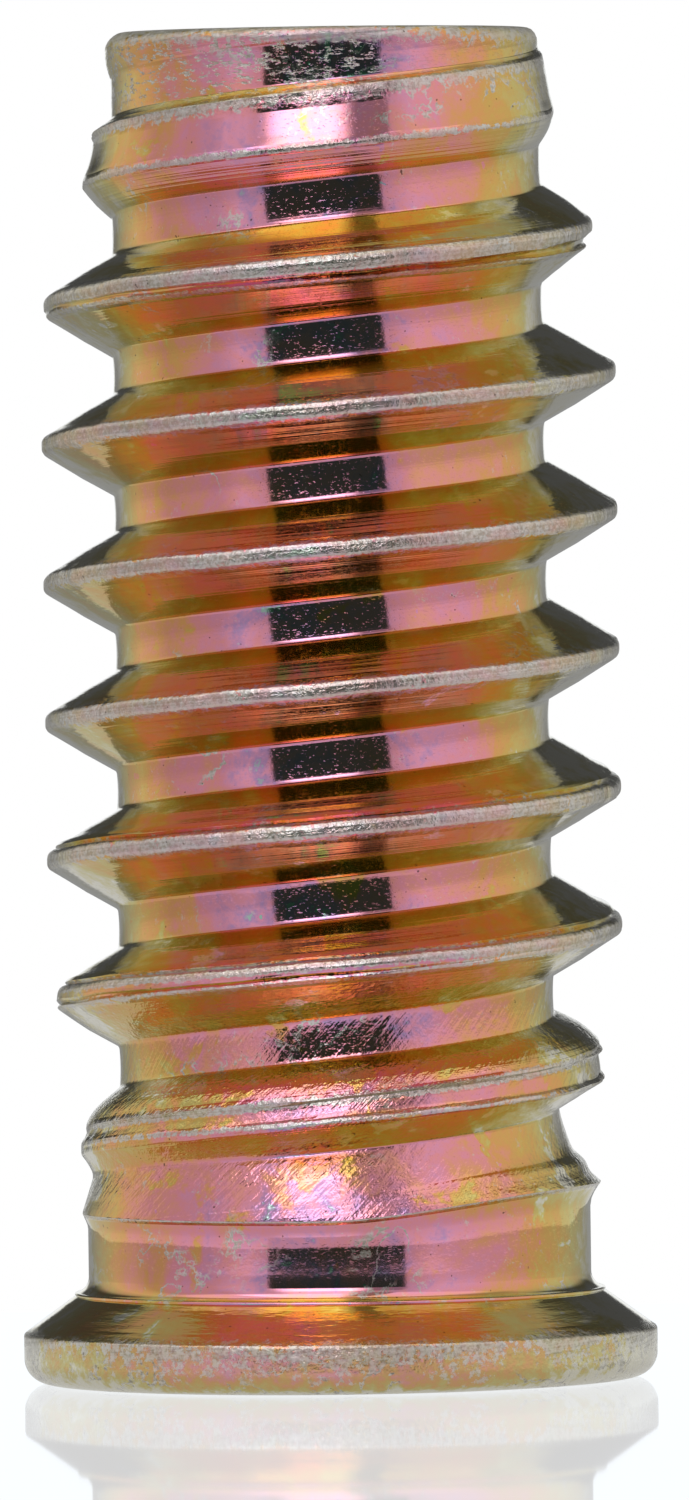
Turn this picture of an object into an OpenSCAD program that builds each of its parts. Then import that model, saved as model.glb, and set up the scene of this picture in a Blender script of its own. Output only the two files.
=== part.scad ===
// Flanged threaded insert for wood: a coarse thread rolled on the outside, a machine-screw
// bore down the middle and a hexagon drive socket in the flanged end.
// Frame: the flange stands on z = 0, the axis is +Z and the thread's free end is at the top.

/* [Overall] */
// Length from the flange's face to the free end
overall_length = 25; // [20:0.5:40]

/* [Flange] */
// Diameter of the flange
flange_d = 11.75; // [11:0.05:15]
// Height of the flange's straight rim, its rounded lower edge included
flange_rim_h = 0.96; // [0.7:0.02:1.6]
// Radius of the flange's lower edge
flange_edge_r = 0.46; // [0.2:0.02:0.6]
// Height of the cone on top of the flange
flange_cone_h = 0.42; // [0.2:0.02:0.8]
// Small round where the rim turns into the cone
flange_corner_r = 0.1; // [0.04:0.01:0.2]

/* [Shank] */
// Diameter of the smooth shank between flange and thread
shank_d = 9.32; // [9:0.02:9.8]
// Height of the shoulder at which the smooth shank ends and the rolled skin begins
shank_top = 3.14; // [2.8:0.02:3.6]
// Depth of that shoulder, from the shank in to the rolled skin
shoulder_step = 0.12; // [0.06:0.01:0.2]
// How far the rolling has pushed the shoulder's edge out past the shank
shoulder_lip = 0.07; // [0.02:0.01:0.12]
// Radius of the bead that rings the shank's foot
bead_r = 0.11; // [0.06:0.01:0.16]
// Radius of the hollow fillet between bead and shank
fillet_r = 0.3; // [0.15:0.01:0.5]

/* [Rolled thread] */
// Diameter over the crests
crest_d = 10.66; // [10:0.02:11.6]
// Rise of the single right-hand thread in one turn
pitch = 2.56; // [2.2:0.02:3]
// Diameter of the land between the ridges, at the free end
root_tip_d = 7.9; // [7.4:0.02:8.2]
// Diameter of the land between the ridges, at the flange end
root_shank_d = 8.08; // [7.6:0.02:8.4]
// Width of the flat on a full crest
crest_w = 0.2; // [0.1:0.01:0.4]
// Width of a ridge at its foot, where it is full
ridge_w = 1.7; // [1.3:0.02:1.9]
// Radius worn on both edges of a full crest
crest_edge = 0.06; // [0.02:0.01:0.1]
// Depth of the seam that the rolling leaves along a full crest
crest_seam = 0.025; // [0:0.005:0.06]

/* [Thread ends] */
// Diameter of the unrolled blank at the free end
blank_tip_d = 8.3; // [8.2:0.02:8.8]
// Distance from the free end down to the first crest, on the +X side
first_crest_drop = 1.23; // [0:0.01:2.5]
// Distance from the free end at which the ridge starts to rise
tip_rise_start = 0.7; // [0.2:0.1:2]
// Length over which the ridge rises to a full crest at the free end
tip_rise_length = 5.2; // [3:0.1:8]
// Length over which the ridge fades above the shank
shank_fade_length = 4.9; // [3:0.1:8]
// Length over which the rolled land climbs out to the shank
land_fade_length = 2.5; // [1.5:0.1:5]
// Distance between the two lips of the ridge where it is only just begun
lip_spread = 0.96; // [0.6:0.02:1.3]
// Height of those lips above the blank between them
lip_h = 0.15; // [0.05:0.01:0.25]
// Further height of the last lip, which stands over the shank with no land below it
last_lip_h = 0.3; // [0.1:0.02:0.4]
// Radius of the free end's rounded rim
tip_edge_r = 0.7; // [0.4:0.02:0.8]

/* [Bore and socket] */
// Bore of the inner thread at its minor diameter, M6
bore_d = 5.0; // [4:0.05:5.4]
// Width of the countersink at the free end
tip_countersink_d = 6.2; // [5.6:0.1:6.6]
// Hexagon socket, width across flats
socket_af = 6.1; // [5.6:0.05:6.5]
// Depth of the hexagon socket
socket_depth = 6; // [4:0.1:8]
// Width of the lead-in cone at the socket's mouth
socket_mouth_d = 7.4; // [7.2:0.1:8]

/* [Hidden] */
EPS = 0.01;                       // overrun of a cut past the surface it opens
ROUND = 96;                       // facets drawn on the turned surfaces
STATIONS = 60;                    // sections swept in one turn of the rolled skin
ARC_STEPS = 6;                    // straight steps in a rounded edge
RIM_TANGENT = 30;                 // angle at which the rounded rim runs out into the flank

flange_r = flange_d / 2;
shank_r = shank_d / 2;
cone_top = flange_rim_h + flange_cone_h;
bead_z = cone_top + bead_r * 0.9;
fillet_top = bead_z + bead_r + fillet_r;
crest_r = crest_d / 2;
skin_foot = shank_top - pitch / 5; // the rolled skin reaches this far down inside the shank
SWEEP_MARGIN = 1.15;               // turns swept past each end, to be cut off flat

// ---- small helpers ----
function clamp01(x) = max(0, min(1, x));
function mix(a, b, f) = a + (b - a) * f;
function ease(x) = let (u = clamp01(x)) u * u * (3 - 2 * u);
function arc(cx, cy, r, from, to, steps = ARC_STEPS) =
    [for (i = [0:steps]) let (a = mix(from, to, i / steps)) [cx + r * cos(a), cy + r * sin(a)]];

// ---- the rolled skin, as radii along the screw line ----
// Height of the crest's centre line after a number of turns, 0 being the first crest on +X
function crest_z(turn) = overall_length - first_crest_drop + pitch * turn;
// How far the ridge has been raised at a height, from 0 at both ends to 1
function raised(z) =
    ease((overall_length - z - tip_rise_start) / tip_rise_length)
    * ease((z - shank_top) / shank_fade_length);
// How far the land is pressed in at a height: out at the shank, full up to the free end
function pressed(z) = ease((z - shank_top) / land_fade_length);
// Radius of the blank before rolling: thinner at the free end
function blank_r(z) = z > overall_length / 2 ? blank_tip_d / 2 : shank_r - shoulder_step;
// The last lip's share: full beside the shoulder, gone half a turn above it
function last(z) = clamp01(1 - (z - shank_top) / (pitch / 2));
function root_r(z) = mix(root_shank_d, root_tip_d, clamp01(z / overall_length)) / 2;
function land_r(z) = mix(blank_r(z), root_r(z), pressed(z));

// Section of one ridge: [distance along the axis from its centre line, radius], upwards.
// A ridge that is only begun has two lips with the bare blank between them.
function ridge_section(turn) =
    let (
        z = crest_z(turn),
        up = raised(z),
        below = land_r(z - pitch / 2),
        above = land_r(z + pitch / 2),
        top = mix(blank_r(z), crest_r, up),
        lip = lip_h * (1 - up),
        half = mix(lip_spread, crest_w, up) / 2,
        run = (ridge_w - crest_w) / 2 / (crest_r - root_tip_d / 2),
        lip_low = top + lip * pressed(z - pitch / 2),
        lip_high = top + (lip + last_lip_h * last(z)) * pressed(z + pitch / 2),
        reach = pitch * 0.47
    )
    [
        [-min(reach, half + run * (lip_low - below) + crest_edge), below],
        [-half - crest_edge, lip_low - crest_edge * mix(0.4, 1, up)],
        [-half, lip_low],
        [0, top - crest_seam * up],
        [half, lip_high],
        [half + crest_edge, lip_high - crest_edge * mix(0.4, 1, up)],
        [min(reach, half + run * (lip_high - above) + crest_edge), above],
    ];

// One closed skin: the sections swept up the screw line, each turn joined to the next, with a
// fan to the axis at both ends
module rolled_skin() {
    first = (skin_foot - crest_z(0)) / pitch - SWEEP_MARGIN;
    last = (overall_length - crest_z(0)) / pitch + SWEEP_MARGIN;
    count = ceil((last - first) * STATIONS);
    rows = len(ridge_section(0));
    points = [
        for (i = [0:count])
            let (turn = first + i / STATIONS, section = ridge_section(turn))
            for (p = section)
                [p[1] * cos(360 * turn), p[1] * sin(360 * turn), crest_z(turn) + p[0]],
        [0, 0, crest_z(first)],
        [0, 0, crest_z(last)],
    ];
    low = len(points) - 2;
    high = len(points) - 1;
    function at(i, j) = i * rows + j;
    function patch(a, b, c, d) = [[a, c, b], [a, d, c]];
    ridges = [
        for (i = [0:count - 1], j = [0:rows - 2])
            each patch(at(i, j), at(i + 1, j), at(i + 1, j + 1), at(i, j + 1))
    ];
    lands = [
        for (i = [0:count - STATIONS - 1])
            each patch(at(i, rows - 1), at(i + 1, rows - 1),
                       at(i + 1 + STATIONS, 0), at(i + STATIONS, 0))
    ];
    low_cap = [
        for (i = [0:STATIONS - 1]) [low, at(i, 0), at(i + 1, 0)],
        for (j = [0:rows - 2]) [low, at(0, j + 1), at(0, j)],
        [low, at(STATIONS, 0), at(0, rows - 1)],
    ];
    high_cap = [
        for (i = [count - STATIONS:count - 1]) [high, at(i + 1, rows - 1), at(i, rows - 1)],
        for (j = [0:rows - 2]) [high, at(count, j), at(count, j + 1)],
        [high, at(count - STATIONS, rows - 1), at(count, 0)],
    ];
    polyhedron(points, concat(ridges, lands, low_cap, high_cap), convexity = 12);
}

// What the rolled skin is turned down to: flat at its foot, rounded at the free end's rim
module turned_envelope() {
    rim_x = root_tip_d / 2 - tip_edge_r * 0.78;
    rim_z = overall_length - tip_edge_r;
    wide = crest_r + 1;
    leave = arc(rim_x, rim_z, tip_edge_r, RIM_TANGENT, 90);
    rotate_extrude($fn = ROUND)
        polygon(concat(
            [[0, skin_foot], [wide, skin_foot],
             [wide, leave[0][1] - (wide - leave[0][0]) / tan(RIM_TANGENT)]],
            leave,
            [[0, overall_length]]
        ));
}

// Flange, its cone, the bead and fillet at the shank's foot, and the smooth shank
module flange_and_shank() {
    corner_z = flange_rim_h - flange_corner_r;
    rotate_extrude($fn = ROUND)
        polygon(concat(
            [[0, 0]],
            arc(flange_r - flange_edge_r, flange_edge_r, flange_edge_r, -90, 0),
            arc(flange_r - flange_corner_r, corner_z, flange_corner_r, 0, 60, 3),
            [[shank_r + fillet_r + bead_r * 1.2, cone_top]],
            arc(shank_r + fillet_r - bead_r * 0.6, bead_z, bead_r, -50, 70, 4),
            arc(shank_r + fillet_r, fillet_top, fillet_r, 265, 180),
            [[shank_r, shank_top - shoulder_lip * 2],
             [shank_r + shoulder_lip, shank_top - shoulder_lip * 0.6],
             [shank_r + shoulder_lip * 0.8, shank_top],
             [0, shank_top]]
        ));
}

// Through bore with its countersink, and the hexagon socket with its drill cone
module bore_and_socket() {
    across_corners = socket_af / cos(30);
    sink = (tip_countersink_d - bore_d) / 2;
    mouth = (socket_mouth_d - socket_af) / 2;
    floor_cone = (socket_af - bore_d) / 2 * tan(40);
    translate([0, 0, -EPS]) cylinder(h = overall_length + 2 * EPS, d = bore_d, $fn = ROUND);
    translate([0, 0, overall_length - sink])
        cylinder(h = sink + EPS, d1 = bore_d, d2 = tip_countersink_d + 2 * EPS, $fn = ROUND);
    translate([0, 0, -EPS])
        cylinder(h = socket_depth + EPS, d = across_corners, $fn = 6);
    translate([0, 0, socket_depth - EPS])
        cylinder(h = floor_cone + EPS, d1 = socket_af, d2 = bore_d, $fn = ROUND);
    translate([0, 0, -EPS])
        cylinder(h = mouth + EPS, d1 = socket_mouth_d + 2 * EPS, d2 = socket_af, $fn = ROUND);
}

module insert() {
    color("#c9a35a")
    difference() {
        union() {
            flange_and_shank();
            intersection() {
                rolled_skin();
                turned_envelope();
            }
        }
        bore_and_socket();
    }
}

insert();
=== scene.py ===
"""Threaded insert for wood: yellow-passivated zinc plate on a thread-rolled steel body."""

import math
from functools import partial
from types import SimpleNamespace

import bmesh
import bpy
from bpy.props import FloatProperty, FloatVectorProperty, IntProperty, PointerProperty
from mathutils import Matrix, Vector, noise


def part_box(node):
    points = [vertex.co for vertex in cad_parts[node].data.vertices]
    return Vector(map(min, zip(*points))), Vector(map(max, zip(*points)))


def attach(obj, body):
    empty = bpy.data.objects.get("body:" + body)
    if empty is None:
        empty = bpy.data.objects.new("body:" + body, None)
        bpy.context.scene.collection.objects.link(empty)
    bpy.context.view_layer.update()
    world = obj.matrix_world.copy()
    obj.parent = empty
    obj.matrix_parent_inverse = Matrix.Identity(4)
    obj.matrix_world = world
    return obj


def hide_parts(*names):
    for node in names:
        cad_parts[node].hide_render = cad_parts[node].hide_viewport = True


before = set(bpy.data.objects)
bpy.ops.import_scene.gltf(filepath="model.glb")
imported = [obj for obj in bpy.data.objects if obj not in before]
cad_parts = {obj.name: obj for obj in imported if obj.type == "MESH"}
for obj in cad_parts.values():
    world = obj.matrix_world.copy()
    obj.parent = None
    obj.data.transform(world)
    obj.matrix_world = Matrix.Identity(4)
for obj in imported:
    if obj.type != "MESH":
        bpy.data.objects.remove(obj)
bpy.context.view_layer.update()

bl_info = {
    "name": "Rolled Threaded Insert",
    "version": (1, 0, 0),
    "blender": (4, 5, 0),
    "location": "View3D > Sidebar > Insert",
    "description": "A flanged wood insert with a rolled thread, its finish and a small studio",
    "category": "Add Mesh",
}

MM = 0.001
TURN = 2 * math.pi
NODE = "insert"
HIGH = Vector(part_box(NODE)[1]) / MM  # the CAD body's highest corner, in mm
PITCH = 2.56                         # rise of the outer thread in one turn, in mm
SMOOTH = {"interpolation_type": "SMOOTHSTEP"}


# ---------------------------------------------------------------- small helpers
def linear(text):
    """An sRGB hex colour, such as "c9a35a", as linear red, green, blue and 1."""
    def channel(i):
        c = int(text[i:i + 2], 16) / 255
        return c / 12.92 if c <= 0.04045 else ((c + 0.055) / 1.055) ** 2.4
    return (channel(0), channel(2), channel(4), 1.0)


def mix(a, b, f):
    return a + (b - a) * f


def ease(x):
    """0 below 0, 1 above 1, and a smooth step between."""
    x = min(1.0, max(0.0, x))
    return x * x * (3 - 2 * x)


def arc(cx, cy, r, start, end, steps):
    """Points of an arc, its angles in degrees."""
    angles = (math.radians(mix(start, end, i / steps)) for i in range(steps + 1))
    return [(cx + r * math.cos(a), cy + r * math.sin(a)) for a in angles]


# ---------------------------------------------------------------- sizes and colours
def length(name, description, mm):
    return FloatProperty(name=name, description=description, default=mm * MM, min=0,
                         precision=5, unit="LENGTH")


def colour(name, description, text):
    return FloatVectorProperty(name=name, description=description, subtype="COLOR", size=4,
                               min=0, max=1, default=linear(text))


class InsertSizes(bpy.types.PropertyGroup):
    """Sizes of the turned, rolled and broached surfaces."""
    overall: length("Overall length", "Flange face to free end", HIGH.z)
    flange_r: length("Flange radius", "Outer radius of the flange", HIGH.x)
    rim_h: length("Rim height", "Height of the flange's rim", 0.96)
    rim_edge: length("Rim edge", "Round on the rim's lower edge", 0.46)
    cone_h: length("Cone height", "Height of the cone on the flange", 0.64)
    shank_r: length("Shank radius", "Radius of the smooth shank", 4.66)
    shank_top: length("Shank top", "Height of the shoulder over the shank", 3.14)
    bead_r: length("Bead radius", "Radius of the bead at the shank's foot", 0.04)
    fillet_r: length("Fillet radius", "Hollow fillet over the bead", 0.30)
    crest_r: length("Crest radius", "Radius over the thread's crests", 5.33)
    pitch: length("Pitch", "Rise of the outer thread in one turn", PITCH)
    root_tip: length("Land radius, tip", "Radius of the land at the free end", 3.95)
    root_shank: length("Land radius, shank", "Radius of the land at the flange end", 4.04)
    crest_w: length("Crest width", "Flat on a full crest", 0.20)
    ridge_w: length("Ridge width", "Width of a ridge at its foot", 1.80)
    blank_tip: length("Blank radius", "Radius of the unrolled blank at the tip", 4.15)
    first_drop: length("First crest", "Free end to the first crest on +X", 1.25)
    tip_start: length("Rise start", "Free end to where the ridge starts to rise", 0.85)
    tip_rise: length("Rise length", "Length in which the ridge rises", 5.0)
    tip_taper: length("Tip taper", "Length in which the blank tapers to the free end", 1.4)
    shank_fade: length("Fade length", "Length in which the ridge fades", 6.2)
    land_fade: length("Land fade", "Length in which the land climbs out", 2.6)
    upper_lip: length("Upper lip", "Centre line to the upper lip at the free end", 0.74)
    lower_lip: length("Lower lip", "Centre line to the lower lip at the free end", 0.32)
    last_lip: length("Last lips", "Centre line to either lip half a turn from the end", 0.275)
    end_lip: length("End lips", "Centre line to either lip where the ridge ends", 0.165)
    end_shift: length("End shift", "How far the dies pushed the ending ridge down", 0.27)
    end_foot: length("End foot", "Centre line to the lower foot of the ending ridge", 0.80)
    groove: length("Groove", "Depth of the groove between the lips where they start", 0.05)
    fold: length("Fold", "Further depth of the groove where the lips close", 0.7)
    lap: length("Lap", "Height of the lap rolled over the upper side of the last crests", 0.1)
    collar_out: length("Collar", "How far the dragged collar stands out from the shank", 0.1)
    collar_rise: length("Collar rise", "How far the collar climbs on +X", 0.47)
    tip_round: length("Tip round", "Round on the free end's rim", 0.27)
    bore_r: length("Bore radius", "Minor radius of the inner thread", 2.5)
    bore_pitch: length("Inner pitch", "Pitch of the inner thread", 1.0)
    sink_r: length("Countersink", "Radius of the countersink at the tip", 3.1)
    socket_af: length("Socket", "Hexagon socket across flats", 6.1)
    socket_h: length("Socket depth", "Depth of the hexagon socket", 6.0)
    mouth_r: length("Socket mouth", "Radius of the socket's lead-in", 3.7)
    steps: IntProperty(name="Steps", description="Segments in one turn", default=192, min=24)


class InsertColours(bpy.types.PropertyGroup):
    """Colours of the passivated plating, square on and turned away, and of bare zinc."""
    thickest: colour("Thickest film", "Specks where the film is thickest", "9dbcae")
    thicker: colour("Thicker film", "Blotches where the film is thicker", "b48cb6")
    film_0: colour("Film, square on", "Passivation film seen square on", "dc94ae")
    film_1: colour("Film, 30 degrees", "Passivation film tilted a little", "e3929c")
    film_2: colour("Film, 40 degrees", "Passivation film tilted", "e29886")
    film_3: colour("Film, 50 degrees", "Passivation film tilted further", "dca064")
    film_4: colour("Film, 60 degrees", "Passivation film at a slant", "d2ab5e")
    film_5: colour("Film, 70 degrees", "Passivation film at a steep slant", "cabe74")
    film_6: colour("Film, edge on", "Passivation film nearly edge on", "dedac6")
    tumbled: colour("Tumbled film", "Passivation dulled by knocks on the flange", "a59f8c")
    zinc: colour("Bare zinc", "Plating rubbed bright", "cdcac4")
    dull: colour("Dull zinc", "Specks between the bright ones", "aaa599")
    dull_rim: colour("Dull zinc, rim", "The same on the flange's rim", "868279")
    # dark specks at fine pits, and painted shade in the fold between the lips of the ridge
    pit_specks_and_fold_shade: colour("Pit specks and fold shade", "In fine pits and in the fold of the ridge", "453021")
    floor: colour("Floor", "Pale table top", "f7f7f8")
    mirror: colour("Mirror image", "Tint of what the table top mirrors", "eff8ff")


# ---------------------------------------------------------------- outer thread
class Thread:
    """The rolled outer thread in mm: what a full ridge is, and how it starts and ends."""

    EDGE = 0.07     # round on each side of the crest's flat
    DROP = 0.08     # how far that round falls
    KNEE = 0.53     # share of a flank's width over which it's the less steep of its slopes
    FILLET = 0.12   # hollow between a flank and the land
    HOLLOW = 0.015  # how far the middle of the land lies below its edges

    def __init__(self, s):
        self.s = s
        self.pitch = s.pitch / MM
        self.crest = s.crest_r / MM
        self.root = s.root_tip / MM
        self.shank = s.shank_r / MM
        self.flat = s.crest_w / MM / 2
        self.side = self.flat + self.EDGE
        self.foot = s.ridge_w / MM / 2
        self.first = (s.overall - s.first_drop) / MM
        self.top = s.overall / MM
        self.low = s.shank_top / MM
        self.middle = self.top / 2  # the ridge starts above it and ends below it
        self.last = self.first - 7 * self.pitch  # centre line half a turn from its end

    def section(self):
        """Half a full ridge as (distance from its centre line, radius), crest to mid-land."""
        flat, side, foot, crest = self.flat, self.side, self.foot, self.crest
        half = [(0, crest), (flat * 0.35, crest), (flat * 0.7, crest - 0.003),
                (flat, crest - 0.012), (mix(flat, side, 0.6), crest - self.DROP / 2)]
        knee = (mix(side, foot, self.KNEE), (crest - self.DROP + self.root) / 2)
        lean = math.atan((knee[1] - self.root) / (foot - knee[0]))
        tangent = self.FILLET * math.tan(lean / 2)
        edge, rim = foot + tangent, self.root + self.HOLLOW
        start = (foot - tangent * math.cos(lean), rim + tangent * math.sin(lean))
        for f in (0, 0.10, 0.22, 0.38, 0.58, 0.80):
            half.append((mix(side, knee[0], f), mix(crest - self.DROP, knee[1], f)))
        half.append((knee[0], knee[1] + 0.004))
        for f in (0.2, 0.45, 0.7, 0.9):
            half.append((mix(knee[0], start[0], f), mix(knee[1], start[1], f)))
        half += [(v, r) for r, v in arc(rim + self.FILLET, edge, self.FILLET,
                                        180 + math.degrees(lean), 180, 4)]
        for f in (0.3, 0.65, 1):
            half.append((mix(edge, self.pitch / 2, f), self.root + self.HOLLOW * (1 - f) ** 2))
        return half

    def raised(self, z):
        """How much of its full height the ridge has where its centre line is at z."""
        s = self.s
        return (ease((self.top - z - s.tip_start / MM) / (s.tip_rise / MM))
                * ease((z - self.low + 0.5) / (s.shank_fade / MM)))

    def land(self, z):
        """Radius of the land, which climbs out to the shank at its end."""
        root = mix(self.s.root_shank / MM, self.root, min(1, max(0, z / self.top)))
        return mix(self.shank, root, ease((z - self.low + 0.25) / (self.s.land_fade / MM)))

    def blank(self, z):
        """Radius between the lips where nothing is raised yet."""
        if z < self.middle:
            return self.shank - 0.06
        taper = ease((self.top + 0.2 - z) / (self.s.tip_taper / MM))
        return mix(self.root + 0.02, self.s.blank_tip / MM, taper)

    def place(self, point):
        """(height of the ridge's centre line, distance from it, angle) of a point."""
        angle = math.atan2(point.y, point.x)
        turns = (point.z - self.first) / self.pitch - angle / TURN
        k = round(turns)
        return self.first + self.pitch * (k + angle / TURN), (turns - k) * self.pitch, angle

    def lips(self, z, up):
        """Distances of the upper and the lower lip from the centre line, how much further
        out the lower one lies, and a shift of both."""
        s, full = self.s, self.side
        if z < self.middle:
            gone = min(1.0, max(0.0, (self.last - z) / (self.pitch / 2)))
            half = mix(s.last_lip / MM, s.end_lip / MM, gone)
            lean = 0.035 * ease((z - 4.4) / 1.4) * (1 - ease((z - 6.5) / 2))
            return (mix(half, full, ease((up - 0.55) / 0.45)),) * 2 + (
                lean, -gone * s.end_shift / MM)
        lean = mix(0.085, -0.06, ease((up - 0.25) / 0.35)) * (1 - ease((up - 0.8) / 0.2))
        return (mix(s.upper_lip / MM, full + 0.25 * (1 - up), ease((up - 0.05) / 0.6)),
                mix(s.lower_lip / MM, full, up * up), lean, 0.0)

    def lap(self, z, v):
        """Metal folded over the upper side of the crests nearest the shank: a groove close
        to the crest with a low ledge over it."""
        size = ease((13.0 - z) / 3.0) * ease((z - 5.0) / 1.5)
        groove = ease(1 - abs(v - self.side - 0.04) / 0.05)
        ledge = ease(1 - abs(v - self.side - 0.13) / 0.10)
        return size * (ledge - 0.7 * groove) * self.s.lap / MM

    def collar(self, angle):
        """Height and radius of the edge of the collar of metal dragged over the shank, and
        the slope of its upper side."""
        s = self.s
        side = ease((math.cos(angle) + 0.1) / 1.1)
        return (self.low + s.collar_rise / MM * side,
                self.shank + s.collar_out / MM * (1 + side), mix(0.33, 1.1, side))

    def climbed(self, z, angle, low, high):
        """A height moved up with the collar: not at all at low, fully on its edge, and not
        at all at high."""
        move = self.collar(angle)[0] - self.low
        f = (z - low) / (self.low - low) if z < self.low else (high - z) / (high - self.low)
        return z + move * ease(f)

    def shaped(self, point):
        """Where a point of the full thread lies once the ends have run out, how far it lies
        on a crest or lip (-1 in the fold between the lips, darkened as painted shade), in
        dragged skin, and on a flank with marks of the dies."""
        s = self.s
        z, v, angle = self.place(point)
        radius, away = math.hypot(point.x, point.y), abs(v)
        up = self.raised(z)
        upper, lower, lean, shift = self.lips(z, up)
        half, foot = upper if v > 0 else lower, self.foot
        if v < 0 and z < self.middle:
            foot = mix(s.end_foot / MM, foot, ease((z - 5.9) / 1.5))
        # outwards from the centre line: over the crest, down the flank, along the land
        along_flank = (away - self.side) / (self.foot - self.side)
        if along_flank < 0:
            out = away / self.side * half
        elif along_flank < 1:
            out = mix(half, foot, along_flank)
        else:
            out = mix(foot, self.pitch / 2,
                      (away - self.foot) / (self.pitch / 2 - self.foot))
        height = math.copysign(out, v) + shift * max(0.0, 1 - out / foot)
        height = mix(v, height, ease((point.z - self.low) / 0.5))
        land = self.land(z + height)
        top = mix(self.blank(z), self.crest, up) - lean * height / min(half, 0.5)
        share = (radius - self.root) / (self.crest - self.root)
        if v > 0 and 0 < along_flank < 1:
            share += 0.2 * math.sin(math.pi * along_flank) * ease((7.6 - z) / 1.6)
        r = land + (top - land) * share
        # the groove between the lips closes to a seam under the upper one
        gap = (upper - height) * (height + lower)
        crease = 0.0
        if gap > 0:
            deep = (s.groove / MM * (1 - up) * ease((up - 0.1) / 0.2)
                    + s.fold / MM * up * up * (1 - up))
            shut = ease((up - 0.45) / 0.35)
            near = ease((upper - height - mix(0, upper + lower - 0.15, shut)) / 0.06)
            far = mix(upper + lower, 0.06, ease(up / 0.6))
            near *= ease((height + lower - 0.05 * shut) / far)
            r -= deep * near
            crease = near * shut * ease((z - self.middle) / 2) * ease((0.99 - up) / 0.06)
        if v > 0:
            r += self.lap(z, v) * up
        # the crest wanders and is chipped a little, the more so the nearer to its edge
        along = Vector((math.cos(angle), math.sin(angle), z / 9)) * 5.5
        edge = max(0.0, 1 - max(0.0, away - 0.1) / 0.35)
        height += 0.03 * edge * noise.noise(along)
        chip = max(0.0, noise.noise(along * 3.1 + Vector((9, 0, 0))) - 0.2)
        r -= 0.07 * edge * chip
        # the collar's upper side
        z_new = self.climbed(z + height, angle, self.low - 0.8, self.low + 1.2)
        line, line_r, slope = self.collar(angle)
        over = z_new - line
        cone = line_r - slope * over
        swell = math.log(math.exp(r / 0.04) + math.exp(max(cone, 4.0) / 0.04)) * 0.04
        on_cone = ease((cone - r) / 0.06 + 0.5)
        r = mix(r, max(swell, r), ease((1.3 - over) / 0.3))
        # what is rubbed bare: a band in the upper lip that widens to the whole crest, and a
        # narrow one in the lower lip
        ending = z < self.middle
        wide = mix(0.07, 0.12, up) if ending else mix(0.10, 0.27, ease((up - 0.4) / 0.35))
        in_upper = max(height - upper - 0.02, upper - wide - height, 0.0)
        in_lower = max(-height - lower - 0.02, lower - 0.05 + height, 0.0)
        bare = max(1 - in_upper / 0.07, 0.8 - in_lower / 0.06)
        full = 1 - max(0.0, away - 0.09) / 0.16
        bare = max(mix(bare, full, ease((up - 0.9) / 0.08)), 0.0) * (1 - on_cone)
        # where the lips close, -1 marks the fold, which the material darkens as painted shade
        bare = mix(bare, -1, ease((crease - 0.2) / 0.4))
        # skin that the dies dragged: the collar, the last land and the flank over it
        last_flank = ease((along_flank + 0.3) / 0.2) * ease((0.95 - along_flank) / 0.2)
        skin = ease((4.45 - z_new) / 0.4) * ease((z - 2.0 - v) / 0.3) * mix(0.35, 1, on_cone)
        if v > -self.side:
            skin = max(skin, 0.9 * ease((5.9 - z) / 0.7) * last_flank)
        if ending and -lower < height < upper:
            skin = max(skin, 0.35 * ease((6.4 - z) / 0.8))
        skin = max(skin, 0.45 * ease((8.6 - z_new) / 2.2))
        # lines along the thread: faint on a flank, strong on the first lower flank
        lines = ease(along_flank / 0.1) * ease((1 - along_flank) / 0.1)
        if v > 0:
            lines *= mix(0.3, 0.5, ease((7.0 - z) / 1.0))
        else:
            lines *= mix(0.34, 1, ease((z - 20.6) / 1.0))
        place = Vector((r * math.cos(angle), r * math.sin(angle), z_new))
        return place, bare, skin, lines


def sweep_screw(bm, section, pitch, steps, bottom, turns):
    """Spins a section up one turn of a right-hand screw line, and stacks copies of that turn."""
    verts = [bm.verts.new((r, 0, bottom + v)) for v, r in section]
    edges = [bm.edges.new(pair) for pair in zip(verts, verts[1:])]
    bmesh.ops.spin(bm, geom=verts + edges, cent=(0, 0, 0), axis=(0, 0, 1),
                   dvec=(0, 0, pitch / steps), angle=TURN, steps=steps)
    one_turn = bm.verts[:] + bm.edges[:] + bm.faces[:]
    for turn in range(1, turns):
        copied = bmesh.ops.duplicate(bm, geom=one_turn)["geom"]
        copied = [v for v in copied if isinstance(v, bmesh.types.BMVert)]
        bmesh.ops.translate(bm, vec=(0, 0, pitch * turn), verts=copied)
    bmesh.ops.remove_doubles(bm, verts=bm.verts, dist=0.003)


def face_axis(bm, inwards=False):
    """Turns every face of an open part away from the axis, or towards it."""
    bm.normal_update()
    out = sum(f.normal.dot(f.calc_center_median() * Vector((1, 1, 0))) for f in bm.faces)
    if (out < 0) != inwards:
        bmesh.ops.reverse_faces(bm, faces=bm.faces)


def cut_level(bm, z, above):
    """Cuts the mesh off at a height, and gives the edges of the cut."""
    cut = bmesh.ops.bisect_plane(
        bm, geom=bm.verts[:] + bm.edges[:] + bm.faces[:], dist=1e-5,
        plane_co=(0, 0, z), plane_no=(0, 0, 1), clear_outer=above, clear_inner=not above)
    return [e for e in cut["geom_cut"] if isinstance(e, bmesh.types.BMEdge)]


def open_edges(bm, z):
    """The boundary edges that lie at a height."""
    return [e for e in bm.edges if e.is_boundary
            and all(abs(v.co.z - z) < 1e-3 for v in e.verts)]


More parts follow.
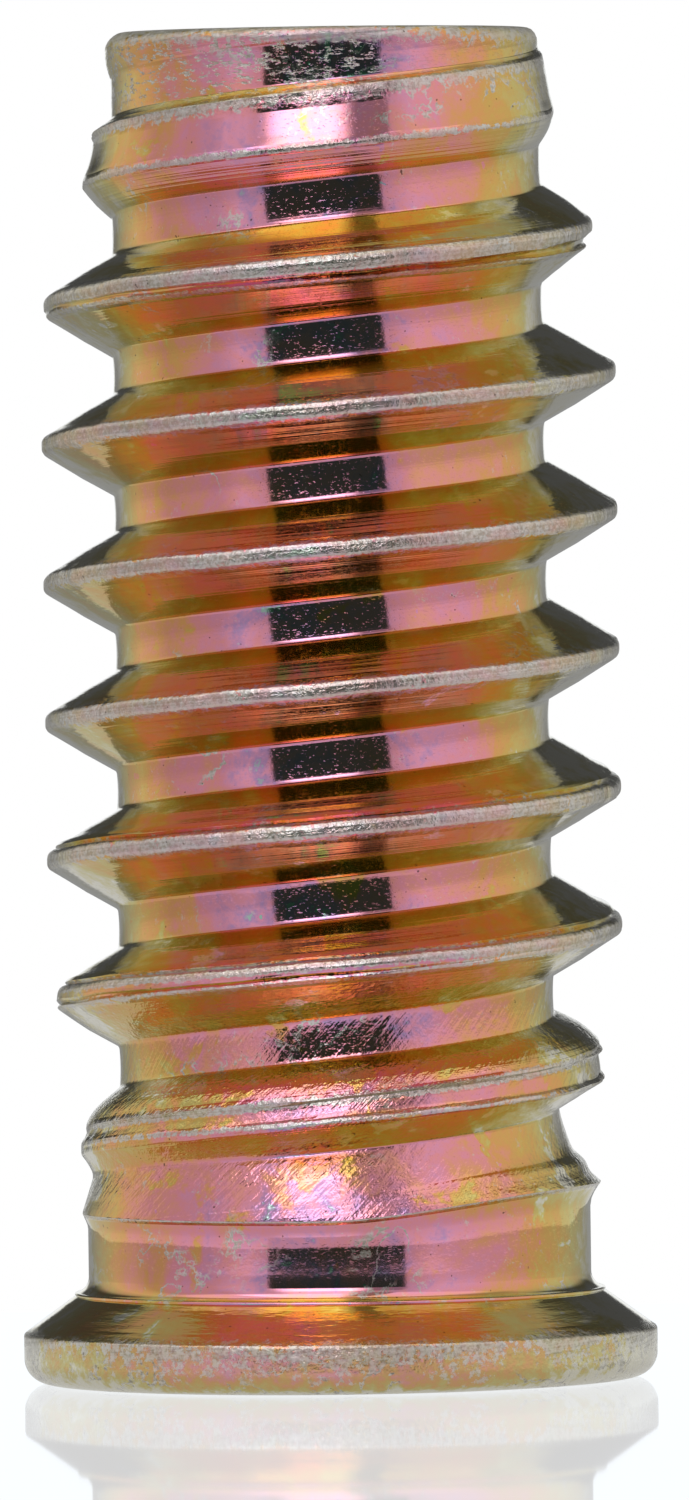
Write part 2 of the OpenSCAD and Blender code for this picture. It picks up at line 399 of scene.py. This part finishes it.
def outer_thread(s):
    """The rolled skin, from the shoulder on the shank to the flat of the free end."""
    thread = Thread(s)
    half = thread.section()
    section = [(-v, r) for v, r in reversed(half)] + half[1:]
    bm = bmesh.new()
    turns = math.ceil((thread.top - thread.low) / thread.pitch) + 3
    below = math.ceil((thread.first - thread.low) / thread.pitch) + 1
    sweep_screw(bm, section, thread.pitch, s.steps, thread.first - below * thread.pitch, turns)
    face_axis(bm)
    crest = bm.verts.layers.float.new("crest")
    skin = bm.verts.layers.float.new("skin")
    lines = bm.verts.layers.float.new("lines")
    edge = {v for e in cut_level(bm, thread.low, above=False) for v in e.verts}
    for vert in bm.verts:
        vert.co, vert[crest], vert[skin], vert[lines] = thread.shaped(vert.co)
        if vert in edge:
            angle = math.atan2(vert.co.y, vert.co.x)
            z, r, _ = thread.collar(angle)
            vert.co = Vector(((r - 0.01) * math.cos(angle), (r - 0.01) * math.sin(angle), z))
    round_r = s.tip_round / MM
    start = thread.top - round_r
    cut_level(bm, start + round_r * math.pi / 2, above=True)
    centre = thread.root - round_r * 0.78
    for vert in bm.verts:
        vert[crest] = max(vert[crest], 0.75 * ease((vert.co.z - start + 0.16) / 0.3))
        if vert.co.z > start:
            angle = (vert.co.z - start) / round_r
            vert[skin] = max(vert[skin], 0.4 * ease(angle / 0.5))
            r = math.hypot(vert.co.x, vert.co.y)
            new_r = centre + (r - centre) * math.cos(angle)
            vert.co = Vector((vert.co.x * new_r / r, vert.co.y * new_r / r,
                              start + round_r * math.sin(angle)))
    return bm


# ---------------------------------------------------------------- turned and bored surfaces
def lathe(bm, outline, steps):
    """Spins an outline of (radius, height) about the axis into closed rings."""
    verts = [bm.verts.new((r, 0, z)) for r, z in outline]
    edges = [bm.edges.new(pair) for pair in zip(verts, verts[1:])]
    bmesh.ops.spin(bm, geom=verts + edges, cent=(0, 0, 0), axis=(0, 0, 1),
                   angle=TURN, steps=steps, use_merge=True)


def flange_outline(s):
    """Radius and height from the socket's mouth round the flange to the collar's edge."""
    rim, edge, shank = s.rim_h / MM, s.rim_edge / MM, s.shank_r / MM
    flange, bead, fillet = s.flange_r / MM, s.bead_r / MM, s.fillet_r / MM
    cone_top = rim + s.cone_h / MM
    bead_z = cone_top + bead * 0.9
    fillet_top = bead_z + bead + fillet * 0.92
    corner, out, top = 0.1, s.collar_out / MM, s.shank_top / MM
    line = [(s.mouth_r / MM, 0)]
    line += [(mix(s.mouth_r / MM, flange - edge, f), 0) for f in (0.3, 0.6, 0.9)]
    line += arc(flange - edge, edge, edge, -90, 0, 12)
    line += arc(flange - corner, rim - corner, corner, 0, 60, 5)
    line += [(mix(flange - corner / 2, shank + fillet - bead, f),
              mix(rim - corner * 0.134, cone_top, f)) for f in (0.25, 0.5, 0.75, 0.97)]
    line += arc(shank + fillet - bead * 2, bead_z, bead, -50, 60, 8)
    line += arc(shank + fillet, fillet_top, fillet, 252, 180, 10)
    line += [(shank, mix(fillet_top, top - 0.3, f)) for f in (0.25, 0.5, 0.75, 1)]
    line += [(shank + out * f, top - drop) for f, drop in
             ((0.12, 0.22), (0.38, 0.15), (0.70, 0.08), (0.92, 0.03), (1.0, 0.0))]
    return line


def rubbed(s, r, z):
    """How far a turned surface lies on an edge that other parts rub against, 0 to 1."""
    rim, shank, top = s.rim_h / MM, s.shank_r / MM, s.shank_top / MM
    outer = ease((r - s.flange_r / MM + 0.28) / 0.12)
    upper = 1 - ease(abs(z - rim + 0.08) / 0.16)
    middle = 1 - ease(abs(z - rim * 0.55) / 0.5)
    bead_z = rim + s.cone_h / MM + s.bead_r / MM
    bead = 0.15 * (1 - ease(abs(z - bead_z) / 0.07))
    collar = 0.9 * ease((z - top + 0.07) / 0.05)
    return max(outer * max(0.75 * upper, 0.26 * middle), bead, collar)


def bore_thread(s):
    """The inner thread, run out in the countersink and in the socket's drill cone."""
    pitch, minor, top = s.bore_pitch / MM, s.bore_r / MM, s.overall / MM
    major = minor + 0.5 * pitch
    floor, sink, socket = s.socket_h / MM, s.sink_r / MM, s.socket_af / MM / 2
    half = [(0, minor), (pitch / 8, minor), (pitch * 0.28, mix(minor, major, 0.5)),
            (pitch * 7 / 16, major), (pitch / 2, major)]
    section = [(-v, r) for v, r in reversed(half)] + half[1:]
    bm = bmesh.new()
    turns = math.ceil((top - floor) / pitch) + 3
    sweep_screw(bm, section, pitch, s.steps // 3, floor - 1.5 * pitch, turns)
    face_axis(bm, inwards=True)
    cut_level(bm, floor + 0.12, above=False)
    cut_level(bm, top, above=True)
    for vert in bm.verts:
        r = math.hypot(vert.co.x, vert.co.y)
        cone = max(sink - (top - vert.co.z), socket - (vert.co.z - floor) / 0.84)
        grown = max(r, cone) / r
        vert.co.x *= grown
        vert.co.y *= grown
    return bm


def hex_radius(s, angle):
    """Radius of the hexagon socket's wall at an angle, its corners on the X axis."""
    sixth = TURN / 6
    return s.socket_af / MM / 2 / math.cos((angle % sixth) - sixth / 2)


def broach_socket(bm, s):
    """Draws the mouth's ring down the lead-in cone, up the hexagon's flats and onto the
    drill cone at their end."""
    loop = open_edges(bm, 0)
    floor, drill = s.socket_h / MM, s.socket_af / MM / 2 - 0.05
    for end in ("lead-in", "floor", "drill cone"):
        made = bmesh.ops.extrude_edge_only(bm, edges=loop)["geom"]
        loop = [e for e in made if isinstance(e, bmesh.types.BMEdge) and e.is_boundary]
        for vert in {v for e in loop for v in e.verts}:
            flat = math.hypot(vert.co.x, vert.co.y)
            r = hex_radius(s, math.atan2(vert.co.y, vert.co.x))
            if end == "lead-in":
                vert.co.z = s.mouth_r / MM - r
            elif end == "floor":
                vert.co.z = floor
            else:
                r, vert.co.z = drill, floor + 0.05 / 0.84
            vert.co.x *= r / flat
            vert.co.y *= r / flat
    return loop


def insert_mesh(s):
    """The whole surface in one closed shell."""
    bm = bmesh.new()
    lathe(bm, flange_outline(s), s.steps)
    face_axis(bm)
    drill_cone = broach_socket(bm, s)
    crest = bm.verts.layers.float.new("crest")
    for name in ("skin", "lines"):
        bm.verts.layers.float.new(name)
    thread = Thread(s)
    for vert in bm.verts:
        r, angle = math.hypot(vert.co.x, vert.co.y), math.atan2(vert.co.y, vert.co.x)
        vert[crest] = rubbed(s, r, vert.co.z)
        if r > thread.shank and vert.co.z > thread.low - 0.5:
            out = (thread.collar(angle)[1] - thread.shank) / (s.collar_out / MM)
            grown = (thread.shank + (r - thread.shank) * out) / r
            vert.co.x *= grown
            vert.co.y *= grown
        if r > thread.shank - 0.01 and vert.co.z > thread.low - 0.8:
            vert.co.z = thread.climbed(vert.co.z, angle, thread.low - 0.8, thread.top)
    for part in (outer_thread(s), bore_thread(s)):
        mesh = bpy.data.meshes.new("part")
        part.to_mesh(mesh)
        bm.from_mesh(mesh)
        bpy.data.meshes.remove(mesh)
        part.free()
    bmesh.ops.bridge_loops(bm, edges=open_edges(bm, s.overall / MM))
    bmesh.ops.bridge_loops(bm, edges=drill_cone + open_edges(bm, s.socket_h / MM + 0.12))
    bmesh.ops.bridge_loops(bm, edges=[e for e in bm.edges if e.is_boundary])
    bmesh.ops.recalc_face_normals(bm, faces=bm.faces)
    bmesh.ops.scale(bm, vec=(MM, MM, MM), verts=bm.verts)
    return bm


# ---------------------------------------------------------------- materials
def add_node(tree, kind, sockets=(), **settings):
    """Adds a node with its settings. Each of its sockets, in order or by name, gets a value,
    or a link from an output or from the first output that another node has in use."""
    node = tree.nodes.new("ShaderNode" + kind)
    for name, value in settings.items():
        setattr(node, name, value)
    for key, value in sockets.items() if isinstance(sockets, dict) else enumerate(sockets):
        if isinstance(value, bpy.types.Node):
            value = next(output for output in value.outputs if output.enabled)
        if isinstance(value, bpy.types.NodeSocket):
            tree.links.new(value, node.inputs[key])
        else:
            node.inputs[key].default_value = value
    return node


def new_material(name):
    """A material with an empty tree, and the way to add nodes to it."""
    material = bpy.data.materials.new(name)
    material.use_nodes = True
    material.node_tree.nodes.clear()
    return material, partial(add_node, material.node_tree)


def surface_maps(add):
    """Where a point lies on the insert, and the noise there, by name."""
    place = add("TexCoord").outputs["Object"]
    mm = add("Mapping", {"Vector": place, "Scale": (1 / MM,) * 3})
    across, _, height = add("SeparateXYZ", [mm]).outputs
    at = {"across": across, "height": height}
    for name in ("crest", "skin", "lines"):
        at[name] = add("Attribute", attribute_name=name).outputs["Fac"]

    # zones, each from 0 at the first height to 1 at the second, in mm
    zones = {"rim": (1.05, 0.85), "cone_foot": (0.95, 1.1), "cone_top": (1.5, 1.75),
             "shank": (2.0, 2.6), "under_collar": (3.4, 3.1), "flange_end": (3.6, 2.6),
             "body": (1.6, 4.0), "tip": (22.6, 23.8), "free_end": (23.4, 24.0),
             "end_face": (24.6, 24.8)}
    for name, (off, on) in zones.items():
        at[name] = add("MapRange", (height, off, on), **SMOOTH)
    at["cone"] = add("Math", (at["cone_foot"], at["cone_top"]), operation="SUBTRACT")

    # turned back along the screw line, so that marks left by the dies follow the thread
    back = add("Math", (height, -TURN / PITCH), operation="MULTIPLY")
    unrolled = add("VectorRotate", {"Vector": mm, "Angle": back}, rotation_type="Z_AXIS")
    drawn = add("Mapping", {"Vector": unrolled, "Scale": (1, 1, 0.12)})
    # leaning lines in the skin that the dies dragged at the run-out
    slant = add("Math", (height, -0.21), operation="MULTIPLY")
    leaning = add("VectorRotate", {"Vector": mm, "Angle": slant}, rotation_type="Z_AXIS")
    dragged = add("Mapping", {"Vector": leaning, "Scale": (1, 1, 0.2)})
    flat = add("Mapping", {"Vector": mm, "Scale": (1, 1, 2.8)})
    turned = add("Mapping", {"Vector": mm, "Scale": (0.1, 0.1, 1)})

    # noise: what it lies along, the size of its largest lumps in mm, how many sizes of lump
    # it has, how strong the small ones are, and how far they are warped
    patterns = {
        "broad": (mm, 1.5, 4.0, 0.65, 0.6), "fine": (mm, 0.25, 4.0, 0.7, 0.0),
        "thin": (mm, 1.1, 4.0, 0.6, 0.4), "rich": (mm, 0.5, 3.0, 0.6, 0.0),
        "speck": (mm, 0.08, 3.0, 0.65, 0.0), "blotch": (mm, 0.9, 5.0, 0.65, 0.5),
        "streak": (drawn, 0.9, 3.0, 0.6, 0.0), "rub": (mm, 0.16, 4.0, 0.7, 0.0),
        "vein": (mm, 0.8, 4.0, 0.6, 0.3), "area": (mm, 1.6, 2.0, 0.5, 0.0),
        "dint": (flat, 0.24, 4.0, 0.68, 0.0), "pit": (mm, 0.09, 1.0, 0.5, 0.0),
        "die": (drawn, 1.0, 2.0, 0.6, 0.0), "drag": (dragged, 0.15, 2.0, 0.6, 0.0),
        "peel": (mm, 0.085, 2.0, 0.6, 0.0), "dot": (flat, 0.085, 2.0, 0.6, 0.0),
        "ring": (turned, 0.10, 3.0, 0.6, 0.0), "crease": (drawn, 3.0, 3.0, 0.6, 0.0),
        "crumple": (mm, 0.28, 4.0, 0.7, 0.0)}
    noises = {}
    for name, (along, size, detail, rough, warp) in patterns.items():
        noises[name] = add("TexNoise", {"Vector": along, "Scale": 1 / size, "Detail": detail,
                                        "Roughness": rough, "Distortion": warp})
    return SimpleNamespace(**at), SimpleNamespace(**noises)


def film_colour(add, at, noises, c):
    """The passivation's colour by how thick the film looks: thicker at a slant, uneven,
    thinner in patches with firm edges and thicker in small ones."""
    facing = add("LayerWeight", {"Blend": 0.5}).outputs["Facing"]
    broad = add("MapRange", (noises.broad, 0.3, 0.7, -0.15, 0.15), **SMOOTH)
    broad = add("Math", (at.across, 0.012, broad), operation="MULTIPLY_ADD")
    fine = add("MapRange", (noises.fine, 0.25, 0.75, -0.06, 0.06), **SMOOTH)
    more = add("Math", (at.rim, 2.2, 1.0), operation="MULTIPLY_ADD")
    fine = add("Math", (fine, more), operation="MULTIPLY")
    thin = add("Math", (at.skin, 0.09, noises.thin), operation="MULTIPLY_ADD")
    thin = add("MapRange", (thin, 0.61, 0.69, 0.0, 0.30), **SMOOTH)
    rich = add("MapRange", (noises.rich, 0.70, 0.73, 0.0, -0.22), **SMOOTH)
    patches = add("Math", (thin, rich), operation="ADD")
    uneven = add("Math", (broad, patches), operation="ADD")
    base = add("Math", (at.rim, 0.24, 0.13), operation="MULTIPLY_ADD")
    thick = facing
    for part in (uneven, fine, base):
        thick = add("Math", (thick, part), operation="ADD")
    thick = add("Math", (at.cone, 0.02, thick), operation="MULTIPLY_ADD")
    film = add("ValToRGB", [thick])
    stops = film.color_ramp.elements
    stops[0].color, stops[1].color = c.thickest, c.film_6
    for position, tint in ((0.05, c.thicker), (0.15, c.film_0), (0.27, c.film_1),
                           (0.384, c.film_2), (0.507, c.film_3), (0.65, c.film_4),
                           (0.84, c.film_5)):
        stops.new(position).color = tint
    dulled = add("Math", (at.rim, 0.27), operation="MULTIPLY")
    return add("Mix", {"Factor": dulled, "A": film, "B": c.tumbled}, data_type="RGBA")


def rubbed_bare(add, at, noises):
    """How bare the plating is: crests and edges, and branching scuffs at both ends."""
    rub = add("MapRange", (noises.rub, 0.3, 0.7, -0.4, 0.4), **SMOOTH)
    rub = add("Math", (at.crest, rub), operation="ADD")
    patchy = add("MapRange", (noises.blotch, 0.3, 0.7, -0.22, 0.22), **SMOOTH)
    more = add("Math", (at.rim, 0.8, 1.0), operation="MULTIPLY_ADD")
    rub = add("Math", (patchy, more, rub), operation="MULTIPLY_ADD")
    rub = add("MapRange", (rub, 0.34, 0.66), **SMOOTH)
    ends = add("Math", (at.tip, at.flange_end), operation="MAXIMUM")
    area = add("Math", (ends, 0.10, noises.area), operation="MULTIPLY_ADD")
    area = add("MapRange", (area, 0.60, 0.66), **SMOOTH)
    vein = add("Math", (noises.vein, 0.5), operation="SUBTRACT")
    vein = add("Math", [vein], operation="ABSOLUTE")
    vein = add("Math", (at.cone, 0.05, vein), operation="MULTIPLY_ADD")
    vein = add("Math", (noises.speck, 0.06, vein), operation="MULTIPLY_ADD")
    vein = add("MapRange", (vein, 0.06, 0.035), **SMOOTH)
    scuff = add("Math", (area, vein), operation="MULTIPLY")
    return add("Math", (rub, scuff), operation="MAXIMUM")


def free_end_knocks(add, at, noises):
    """The front of the free end has been knocked about: small flat dents, and the flakes of
    bare zinc that they left, which reach a little further."""
    front = add("MapRange", (at.across, 1.5, 0.5, 0.1, 1.0), **SMOOTH)
    front = add("Math", (at.free_end, front), operation="MULTIPLY")
    knocks = add("MapRange", (noises.dint, 0.55, 0.63), **SMOOTH)
    flakes = add("MapRange", (noises.dint, 0.53, 0.59, 0.0, 0.9), **SMOOTH)
    return [add("Math", (front, part), operation="MULTIPLY") for part in (knocks, flakes)]


def worn_colour(add, at, noises, c, film, bare, flakes):
    """The film with mottled zinc where it is bare, dark pit specks, and painted shade in the
    fold.
    """
    mottle = add("Math", (noises.streak, 0.4), operation="MULTIPLY")
    mottle = add("Math", (noises.speck, 0.6, mottle), operation="MULTIPLY_ADD")
    mottle = add("MapRange", (mottle, 0.37, 0.57), **SMOOTH)
    dull = add("Mix", {"Factor": at.rim, "A": c.dull, "B": c.dull_rim}, data_type="RGBA")
    metal = add("Mix", {"Factor": mottle, "A": dull, "B": c.zinc}, data_type="RGBA")
    left = add("MapRange", (noises.blotch, 0.35, 0.65, 0.95, 0.6), **SMOOTH)
    bared = add("Math", (bare, left), operation="MULTIPLY")
    bared = add("Math", (bared, flakes), operation="MAXIMUM")
    surface = add("Mix", {"Factor": bared, "A": film, "B": metal}, data_type="RGBA")
    # dark specks at fine pits, and painted shade in the fold, where the crest attribute is below
    # zero
    pits = add("MapRange", (noises.pit, 0.76, 0.79), **SMOOTH)
    fold = add("MapRange", (at.crest, -0.1, -0.6), **SMOOTH)
    pit_specks_and_fold_shade = add("Math", (pits, fold), operation="MAXIMUM")
    pit_specks_and_fold_shade = add("Math", (pit_specks_and_fold_shade, 0.75), operation="MULTIPLY")
    return add("Mix", {"Factor": pit_specks_and_fold_shade, "A": surface, "B": c.pit_specks_and_fold_shade}, data_type="RGBA")


def surface_relief(add, at, noises, knocks):
    """Height of the fine relief in mm."""
    # marks of the dies along the thread, about 0.1 mm apart
    lay = add("Math", (noises.streak, 0.6), operation="MULTIPLY")
    lay = add("Math", (noises.die, lay), operation="ADD")
    deep = add("MapRange", (at.height, 2.9, 3.5, 0.0002, 0.0014), **SMOOTH)
    deep = add("Math", (at.lines, 0.022, deep), operation="MULTIPLY_ADD")
    marks = add("Math", (lay, deep), operation="MULTIPLY")
    # skin that the dies dragged
    folds = add("Math", (noises.drag, at.skin), operation="MULTIPLY")
    folds = add("Math", (folds, 0.032), operation="MULTIPLY")
    # stipple, coarse on the rim and in dragged skin
    peel = add("MapRange", (at.height, 3.4, 2.6, 0.0006, 0.0004), **SMOOTH)
    peel = add("Math", (at.rim, 0.016, peel), operation="MULTIPLY_ADD")
    peel = add("Math", (at.skin, 0.014, peel), operation="MULTIPLY_ADD")
    stipple = add("Math", (noises.peel, peel), operation="MULTIPLY")
    # small dents, and the rings left by turning the flange's cone
    dents = add("Math", (knocks, -0.009), operation="MULTIPLY")
    dots = add("MapRange", (noises.dot, 0.59, 0.78, 0.0, -0.0013), **SMOOTH)
    dents = add("Math", (dots, at.body, dents), operation="MULTIPLY_ADD")
    rings = add("Math", (at.cone, 0.009), operation="MULTIPLY")
    dents = add("Math", (rings, noises.ring, dents), operation="MULTIPLY_ADD")
    # the crumpled metal of the crests
    creases = add("Math", (noises.crease, 0.025), operation="MULTIPLY")
    foil = add("Math", (noises.crumple, 0.040, creases), operation="MULTIPLY_ADD")
    relief = add("Math", (foil, at.crest), operation="MULTIPLY")
    for part in (marks, folds, stipple, dents):
        relief = add("Math", (relief, part), operation="ADD")
    return relief


def surface_roughness(add, at, bare):
    """Smooth plating, smoothest on the shank, and blunter where it is bare, on crests, on
    the rim and on the face of the free end."""
    shank = add("Math", (at.shank, at.under_collar), operation="MULTIPLY")
    rough = add("Math", (shank, -0.02, 0.07), operation="MULTIPLY_ADD")
    rough = add("Math", (bare, 0.12, rough), operation="MULTIPLY_ADD")
    rough = add("Math", (at.crest, 0.06, rough), operation="MULTIPLY_ADD")
    blunt = add("Math", (at.end_face, 2.0), operation="MULTIPLY")
    blunt = add("Math", (at.rim, blunt), operation="MAXIMUM")
    return add("Math", (blunt, 0.12, rough), operation="MULTIPLY_ADD")


def passivated_zinc(c):
    """Yellow chromate passivation on zinc-plated steel. The film is thinner than light's
    wavelength, so its colour runs from magenta square on to yellow and pale green at a
    slant, in blotches where the bath left it thicker. Crests and the flange's rim are
    rubbed through to dull grey zinc."""
    material, add = new_material("yellow_passivated_zinc")
    at, noises = surface_maps(add)
    film = film_colour(add, at, noises, c)
    bare = rubbed_bare(add, at, noises)
    knocks, flakes = free_end_knocks(add, at, noises)
    colour_map = worn_colour(add, at, noises, c, film, bare, flakes)
    relief = surface_relief(add, at, noises, knocks)
    bump = add("Bump", {"Strength": 1.0, "Distance": MM, "Height": relief})
    shader = add("BsdfPrincipled", {"Base Color": colour_map, "Metallic": 1.0, "Normal": bump,
                                    "Roughness": surface_roughness(add, at, bare)})
    add("OutputMaterial", {"Surface": shader})
    return material


def table_top(c):
    """White acrylic, lit from below: it has no shadows, and its polish mirrors what stands
    on it, most at a slant. What it doesn't mirror adds nothing to its own light."""
    material, add = new_material("opal_acrylic")
    glow = add("Emission", {"Color": c.floor, "Strength": 0.68})
    polish = add("BsdfGlossy", {"Color": c.mirror, "Roughness": 0.03})
    nothing = add("BsdfTransparent", {"Color": (0, 0, 0, 1)})
    slant = add("Fresnel", {"IOR": 1.5})
    slant = add("Math", (slant, 0.58), operation="MULTIPLY")
    mirrored = add("MixShader", (slant, nothing, polish))
    sheet = add("AddShader", (glow, mirrored))
    add("OutputMaterial", {"Surface": sheet})
    return material


# ---------------------------------------------------------------- studio
def cool_white(brightness):
    """The faintly blue white of the studio's lamps."""
    return (brightness * 0.96, brightness * 0.98, brightness, 1)


# brightness of the tent's panels by degrees round the object: 0 is the front, 90 the right
PANELS = ((-158, 0.24), (-140, 0.58), (-125, 0.82), (-110, 0.74), (-98, 0.57), (-62, 0.60),
          (-48, 0.80), (-33, 0.66), (31, 0.62), (48, 0.87), (105, 0.82), (122, 0.74),
          (140, 0.52), (158, 0.26))
BACK_PANEL = 0.18

# laid over the panels in this order: a colour, the degrees round the object from and to which
# it reaches and how soft its edges are, and the same upwards. A first angle that is larger
# than the second one reaches round the back. A number in place of the angles round the object
# is how strongly the colour covers, all the way round.
LAMPS = (
    (cool_white(0.42), 0.5, (-90, -1, 3)),               # dimmer towards the table
    (cool_white(0.07), (148, -148, 9), (7, 42, 3)),      # the dim back
    (cool_white(0.45), 1.0, (47, 200, 5)),               # the roof
    (cool_white(1.15), (-120, 105, 15), (47, 200, 5)),   # its bright front
    (cool_white(0.33), (-10, 31, 2), (10, 76, 4)),       # a dim gap right of the soft box
    (cool_white(1.5), (-30, 9, 7), (13, 76, 3)),         # the soft box left of the lens
    (cool_white(3.0), (-26, 9, 7), (14, 33, 3)),         # its brighter foot
    (cool_white(0.65), (12, 40, 6), (34, 44, 4)),        # a small reflector in the gap
    (cool_white(2.2), (-66, 2, 5), (52, 200, 3)),        # the soft box overhead
    (linear("2d4535"), (-33, 30, 1.0), (-18, 12, 1.5)),  # the dark slot for the lens
    (cool_white(1.0), (169, -169, 3), (-1, 7, 1.5)),     # white straight behind
)


def studio_world():
    """A white light tent: panels right and left, a slot for the lens between them, a bright
    roof and a dim back that leaves the background white straight behind."""
    world = bpy.data.worlds.new("light_tent")
    bpy.context.scene.world = world
    world.use_nodes = True
    world.node_tree.nodes.clear()
    add = partial(add_node, world.node_tree)
    right, rear, up = add("SeparateXYZ", [add("TexCoord").outputs["Generated"]]).outputs
    fore = add("Math", (rear, -1.0), operation="MULTIPLY")
    around = add("Math", (right, fore), operation="ARCTAN2")
    rise = add("Math", [up], operation="ARCSINE")
    turn = add("MapRange", (around, -math.pi, math.pi))
    tent = add("ValToRGB", [turn])
    stops = tent.color_ramp.elements
    stops[0].color = stops[1].color = (BACK_PANEL, BACK_PANEL, BACK_PANEL, 1)
    for angle, light in PANELS:
        stops.new(angle / 360 + 0.5).color = (light, light, light, 1)
    for light, sides, heights in LAMPS:
        cover = []
        for angle, span in ((around, sides), (rise, heights)):
            if isinstance(span, float):
                cover.append(span)
                continue
            first, last, soft = span
            edges = [add("MapRange", (angle, math.radians(edge - soft),
                                      math.radians(edge + soft)), **SMOOTH)
                     for edge in (first, last)]
            inside = add("Math", edges, operation="SUBTRACT")
            if first > last:
                inside = add("Math", (inside, 1.0), operation="ADD")
            cover.append(inside)
        cover = add("Math", cover, operation="MULTIPLY")
        tent = add("Mix", {"Factor": cover, "A": tent, "B": light}, data_type="RGBA")
    lit = add("Background", {"Color": tent})
    plain = add("Background", {"Color": (1, 1, 1, 1)})
    seen = add("LightPath").outputs["Is Camera Ray"]
    add("OutputWorld", {"Surface": add("MixShader", (seen, lit, plain))})


def look_at(obj, eye, target, roll):
    """Points an object from eye at target, both in mm, and rolls it by an angle."""
    away = Vector(target) - Vector(eye)
    turn = away.to_track_quat("-Z", "Y").to_matrix() @ Matrix.Rotation(roll, 3, "Z")
    obj.matrix_world = Matrix.Translation(Vector(eye) * MM) @ turn.to_4x4()


def add_camera():
    """A long lens a little above the middle, as for a small part on a table."""
    data = bpy.data.cameras.new("camera")
    camera = bpy.data.objects.new("camera", data)
    bpy.context.scene.collection.objects.link(camera)
    distance, eye_z = 330.0, 18.2
    view_height = 27.80  # mm from the frame's foot to its head, at the thread's axis
    data.sensor_width = 36
    data.lens = distance * data.sensor_width / view_height
    data.clip_start, data.clip_end = 0.01, 10
    look_at(camera, (0, -distance, eye_z), (0.21, 0, 11.66), math.radians(-0.75))
    bpy.context.scene.camera = camera


# ---------------------------------------------------------------- operators
class INSERT_OT_body(bpy.types.Operator):
    """Models the insert and gives it its finish"""
    bl_idname = "insert.body"
    bl_label = "Insert"

    def execute(self, context):
        scene = context.scene
        bm = insert_mesh(scene.insert_sizes)
        mesh = bpy.data.meshes.new("rolled_insert")
        bm.to_mesh(mesh)
        bm.free()
        mesh.polygons.foreach_set("use_smooth", [True] * len(mesh.polygons))
        mesh.set_sharp_from_angle(angle=math.radians(40))
        mesh.materials.append(passivated_zinc(scene.insert_colours))
        piece = bpy.data.objects.new("rolled_insert", mesh)
        scene.collection.objects.link(piece)
        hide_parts(NODE)
        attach(piece, "root")
        return {"FINISHED"}


class INSERT_OT_stage(bpy.types.Operator):
    """Lays the table top, and sets the light and the camera"""
    bl_idname = "insert.stage"
    bl_label = "Stage"

    def execute(self, context):
        half_width, half_depth, forward = 0.036, 0.034, 0.008
        hair = 0.00002  # below the flange, so that their faces don't flicker into each other
        bm = bmesh.new()
        bmesh.ops.create_grid(bm, x_segments=1, y_segments=1, size=1)
        bmesh.ops.scale(bm, vec=(half_width, half_depth, 1), verts=bm.verts)
        bmesh.ops.translate(bm, vec=(0, -forward, -hair), verts=bm.verts)
        mesh = bpy.data.meshes.new("table_top")
        bm.to_mesh(mesh)
        bm.free()
        mesh.materials.append(table_top(context.scene.insert_colours))
        floor = bpy.data.objects.new("table_top", mesh)
        context.scene.collection.objects.link(floor)
        studio_world()
        add_camera()
        context.scene.view_settings.view_transform = "Standard"
        return {"FINISHED"}


class INSERT_PT_panel(bpy.types.Panel):
    """Lists the insert's operators, sizes and colours"""
    bl_idname = "INSERT_PT_panel"
    bl_label = "Threaded Insert"
    bl_space_type = "VIEW_3D"
    bl_region_type = "UI"
    bl_category = "Insert"

    def draw(self, context):
        for operator in (INSERT_OT_body, INSERT_OT_stage):
            self.layout.operator(operator.bl_idname)
        for group in (context.scene.insert_sizes, context.scene.insert_colours):
            for name in group.bl_rna.properties.keys():
                if name not in ("rna_type", "name"):
                    self.layout.prop(group, name)


CLASSES = (InsertSizes, InsertColours, INSERT_OT_body, INSERT_OT_stage, INSERT_PT_panel)


def register():
    for cls in CLASSES:
        bpy.utils.register_class(cls)
    bpy.types.Scene.insert_sizes = PointerProperty(type=InsertSizes)
    bpy.types.Scene.insert_colours = PointerProperty(type=InsertColours)


def unregister():
    del bpy.types.Scene.insert_colours
    del bpy.types.Scene.insert_sizes
    for cls in reversed(CLASSES):
        bpy.utils.unregister_class(cls)


def main():
    register()
    bpy.ops.insert.body()
    bpy.ops.insert.stage()


if __name__ == "__main__":
    main()
